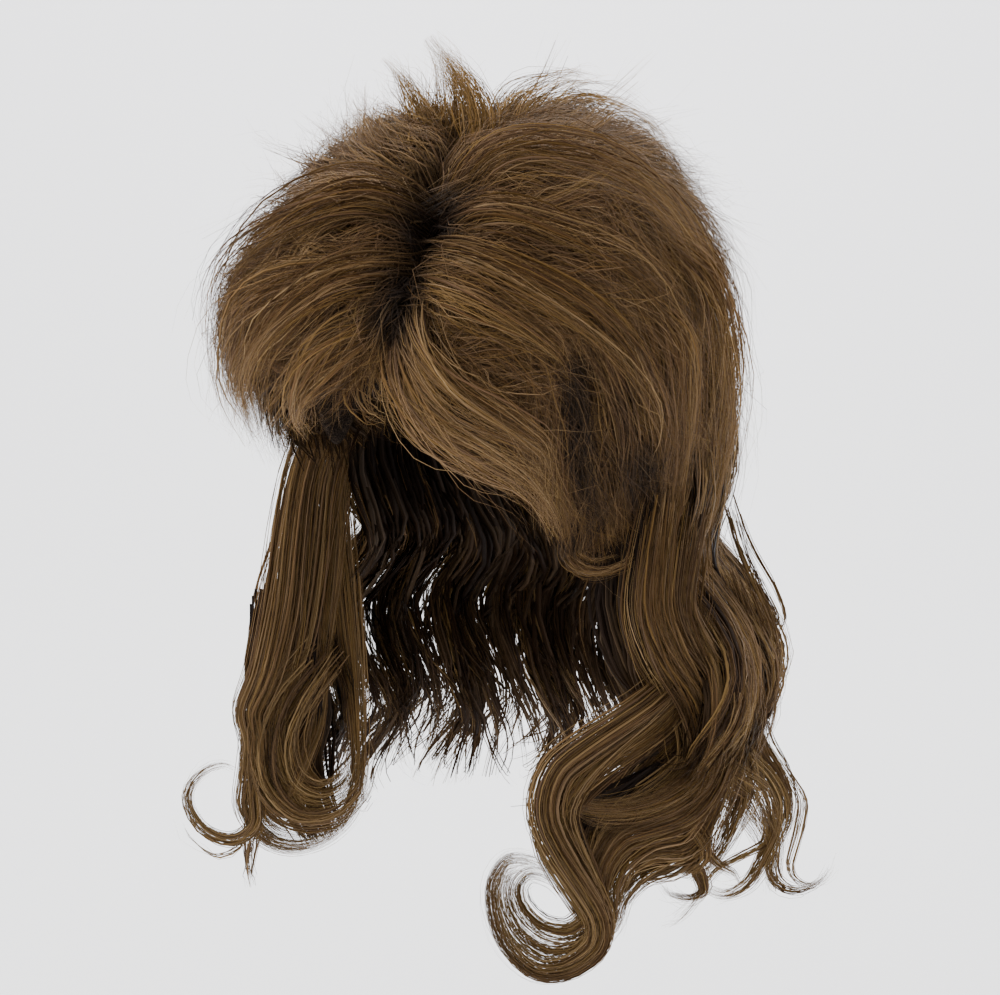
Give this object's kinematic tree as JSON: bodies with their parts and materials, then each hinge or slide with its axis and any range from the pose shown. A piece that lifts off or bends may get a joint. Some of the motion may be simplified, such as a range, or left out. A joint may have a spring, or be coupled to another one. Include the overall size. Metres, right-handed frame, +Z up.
{
  "type": "mullet wig",
  "caption": "Brown layered wig with a parted, swept-back front, an upright crown and long waved hair with curled ends, on a fitted cap.",
  "frame": {"origin": "inside of the cap at the top of the head, where the head carries the wig", "axes": "+Z up, the face looks along -Y, the wearer's left is +X"},
  "size_m": [0.3125, 0.3016, 0.4188],
  "materials": {
    "cap_net": "matte net",
    "parting_base": "matte",
    "hair_front": "soft sheen",
    "hair_crown": "soft sheen",
    "hair_side": "soft sheen",
    "hair_length": "soft sheen"
  },
  "bodies": {
    "root": {"cap": "cap_net", "parting_strip": "parting_base", "fringe_left": "hair_front", "fringe_right": "hair_front", "crown_top": "hair_crown", "crown_back": "hair_crown", "side_left": "hair_side", "side_right": "hair_side", "tail_left": "hair_length", "tail_right": "hair_length"}
  },
  "joints": []
}
